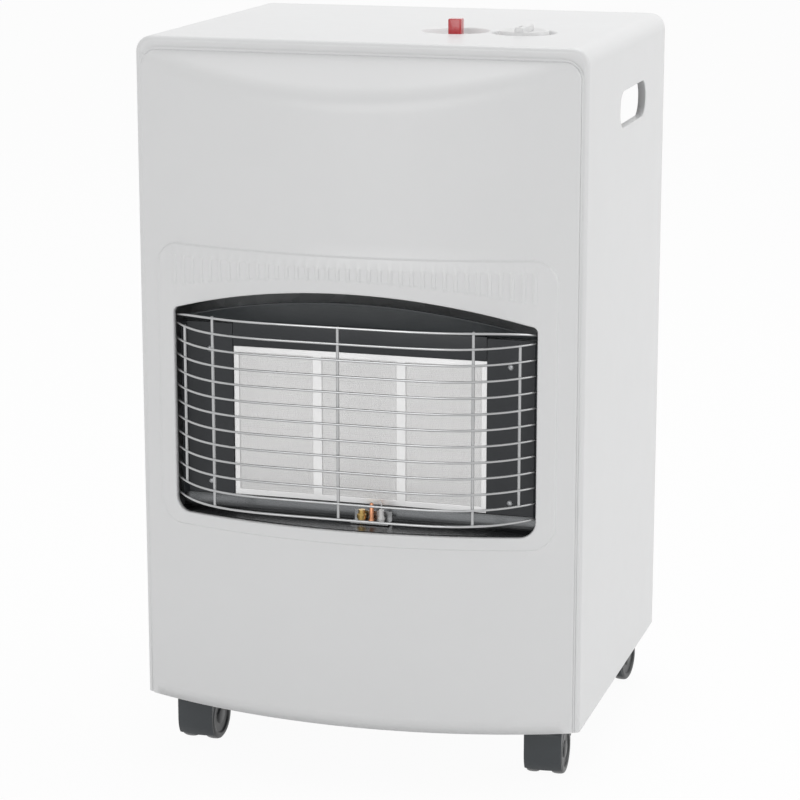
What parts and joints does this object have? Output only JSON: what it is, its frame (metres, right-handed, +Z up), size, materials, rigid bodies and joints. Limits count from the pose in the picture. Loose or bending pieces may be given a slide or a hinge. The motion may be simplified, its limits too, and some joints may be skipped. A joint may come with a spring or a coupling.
{
  "type": "portable gas cabinet heater",
  "caption": "Sheet steel cabinet heater on twin-wheel castors, with a bowed front, ceramic plaques behind a bulging wire guard and a bottle space behind a lift-off cover.",
  "frame": {"origin": "bottom centre of the bounding box, on the floor between the castors", "axes": "+Z up, the front with the fire faces -Y, +X to the right seen from the front"},
  "size_m": [0.45, 0.4516, 0.742],
  "materials": {
    "white_paint": "gloss white powder coat",
    "dark_enamel": "dark grey heat-proof enamel",
    "guard_chrome": "bright chromed wire",
    "polished_steel": "polished stainless sheet",
    "galvanised": "zinc-coated sheet, satin",
    "ceramic": "white porous ceramic, matte",
    "brass": "machined brass",
    "copper": "drawn copper tube",
    "cast_alloy": "die cast, satin",
    "white_plastic": "white, semi-gloss",
    "red_plastic": "red, gloss",
    "black_plastic": "dark grey, satin",
    "wheel_plastic": "black, satin"
  },
  "bodies": {
    "cabinet": {"cabinet_wrap": "white_paint", "front_panel": "white_paint", "base_plate": "galvanised", "heat_shield": "galvanised", "wire_guard": "guard_chrome", "side_reflector_left": "dark_enamel", "side_reflector_right": "dark_enamel", "top_deflector": "dark_enamel", "bottom_reflector": "polished_steel", "plaque_frame": "polished_steel", "burner_housing": "galvanised", "gas_manifold": "cast_alloy", "ceramic_plaque_left": "ceramic", "ceramic_plaque_middle": "ceramic", "ceramic_plaque_right": "ceramic", "mixing_tube_left": "galvanised", "mixing_tube_middle": "galvanised", "mixing_tube_right": "galvanised", "injector_left": "brass", "injector_middle": "brass", "injector_right": "brass", "pilot_bracket": "polished_steel", "pilot_burner": "brass", "thermocouple": "copper", "spark_electrode": "ceramic", "ignition_lead": "white_plastic", "pilot_pipe": "copper", "supply_pipe_low": "copper", "supply_pipe_high": "copper", "gas_valve": "cast_alloy", "hose_inlet": "brass", "button_bezel": "white_plastic", "piezo_igniter": "black_plastic", "caster_stem_front_left": "polished_steel", "caster_stem_front_right": "polished_steel", "caster_stem_rear_left": "polished_steel", "caster_stem_rear_right": "polished_steel"},
    "cover": {"rear_cover": "white_paint"},
    "button": {"igniter_button": "red_plastic"},
    "spindle": {"valve_spindle": "brass"},
    "knob": {"control_knob": "white_plastic"},
    "caster_front_left": {"caster_hood_front_left": "black_plastic", "caster_axle_front_left": "polished_steel"},
    "caster_front_right": {"caster_hood_front_right": "black_plastic", "caster_axle_front_right": "polished_steel"},
    "caster_rear_left": {"caster_hood_rear_left": "black_plastic", "caster_axle_rear_left": "polished_steel"},
    "caster_rear_right": {"caster_hood_rear_right": "black_plastic", "caster_axle_rear_right": "polished_steel"},
    "wheel_front_left_l": {"caster_wheel_front_left_l": "wheel_plastic"},
    "wheel_front_left_r": {"caster_wheel_front_left_r": "wheel_plastic"},
    "wheel_front_right_l": {"caster_wheel_front_right_l": "wheel_plastic"},
    "wheel_front_right_r": {"caster_wheel_front_right_r": "wheel_plastic"},
    "wheel_rear_left_l": {"caster_wheel_rear_left_l": "wheel_plastic"},
    "wheel_rear_left_r": {"caster_wheel_rear_left_r": "wheel_plastic"},
    "wheel_rear_right_l": {"caster_wheel_rear_right_l": "wheel_plastic"},
    "wheel_rear_right_r": {"caster_wheel_rear_right_r": "wheel_plastic"}
  },
  "joints": [
    {"name": "cover_pull", "type": "slide", "parent": "cabinet", "child": "cover", "axis": [0, 1, 0], "range_m": [0, 0.25]},
    {"name": "button_press", "type": "slide", "parent": "cabinet", "child": "button", "axis": [0, 0, -1], "range_m": [0, 0.005], "stiffness_N_per_m": 800, "springref_m": -0.003},
    {"name": "knob_push", "type": "slide", "parent": "cabinet", "child": "spindle", "axis": [0, 0, -1], "range_m": [0, 0.0035], "stiffness_N_per_m": 1500, "springref_m": -0.002},
    {"name": "knob_turn", "type": "hinge", "parent": "spindle", "child": "knob", "pos_m": [0.131, -0.02668, 0.73], "axis": [0, 0, 1], "range_deg": [0, 180]},
    {"name": "swivel_front_left", "type": "hinge", "parent": "cabinet", "child": "caster_front_left", "pos_m": [-0.183, -0.12367, 0.05], "axis": [0, 0, 1], "continuous": true},
    {"name": "swivel_front_right", "type": "hinge", "parent": "cabinet", "child": "caster_front_right", "pos_m": [0.183, -0.12367, 0.05], "axis": [0, 0, 1], "continuous": true},
    {"name": "swivel_rear_left", "type": "hinge", "parent": "cabinet", "child": "caster_rear_left", "pos_m": [-0.183, 0.17833, 0.05], "axis": [0, 0, 1], "continuous": true},
    {"name": "swivel_rear_right", "type": "hinge", "parent": "cabinet", "child": "caster_rear_right", "pos_m": [0.183, 0.17833, 0.05], "axis": [0, 0, 1], "continuous": true},
    {"name": "roll_front_left_l", "type": "hinge", "parent": "caster_front_left", "child": "wheel_front_left_l", "pos_m": [-0.18216, -0.1077, 0.025], "axis": [0.9986, -0.0523, 0], "continuous": true},
    {"name": "roll_front_left_r", "type": "hinge", "parent": "caster_front_left", "child": "wheel_front_left_r", "pos_m": [-0.18216, -0.1077, 0.025], "axis": [0.9986, -0.0523, 0], "continuous": true},
    {"name": "roll_front_right_l", "type": "hinge", "parent": "caster_front_right", "child": "wheel_front_right_l", "pos_m": [0.18244, -0.10769, 0.025], "axis": [0.9994, 0.0349, 0], "continuous": true},
    {"name": "roll_front_right_r", "type": "hinge", "parent": "caster_front_right", "child": "wheel_front_right_r", "pos_m": [0.18244, -0.10769, 0.025], "axis": [0.9994, 0.0349, 0], "continuous": true},
    {"name": "roll_rear_left_l", "type": "hinge", "parent": "caster_rear_left", "child": "wheel_rear_left_l", "pos_m": [-0.18687, 0.19385, 0.025], "axis": [0.9703, 0.2419, 0], "continuous": true},
    {"name": "roll_rear_left_r", "type": "hinge", "parent": "caster_rear_left", "child": "wheel_rear_left_r", "pos_m": [-0.18687, 0.19385, 0.025], "axis": [0.9703, 0.2419, 0], "continuous": true},
    {"name": "roll_rear_right_l", "type": "hinge", "parent": "caster_rear_right", "child": "wheel_rear_right_l", "pos_m": [0.18467, 0.19424, 0.025], "axis": [0.9945, -0.1045, 0], "continuous": true},
    {"name": "roll_rear_right_r", "type": "hinge", "parent": "caster_rear_right", "child": "wheel_rear_right_r", "pos_m": [0.18467, 0.19424, 0.025], "axis": [0.9945, -0.1045, 0], "continuous": true}
  ]
}
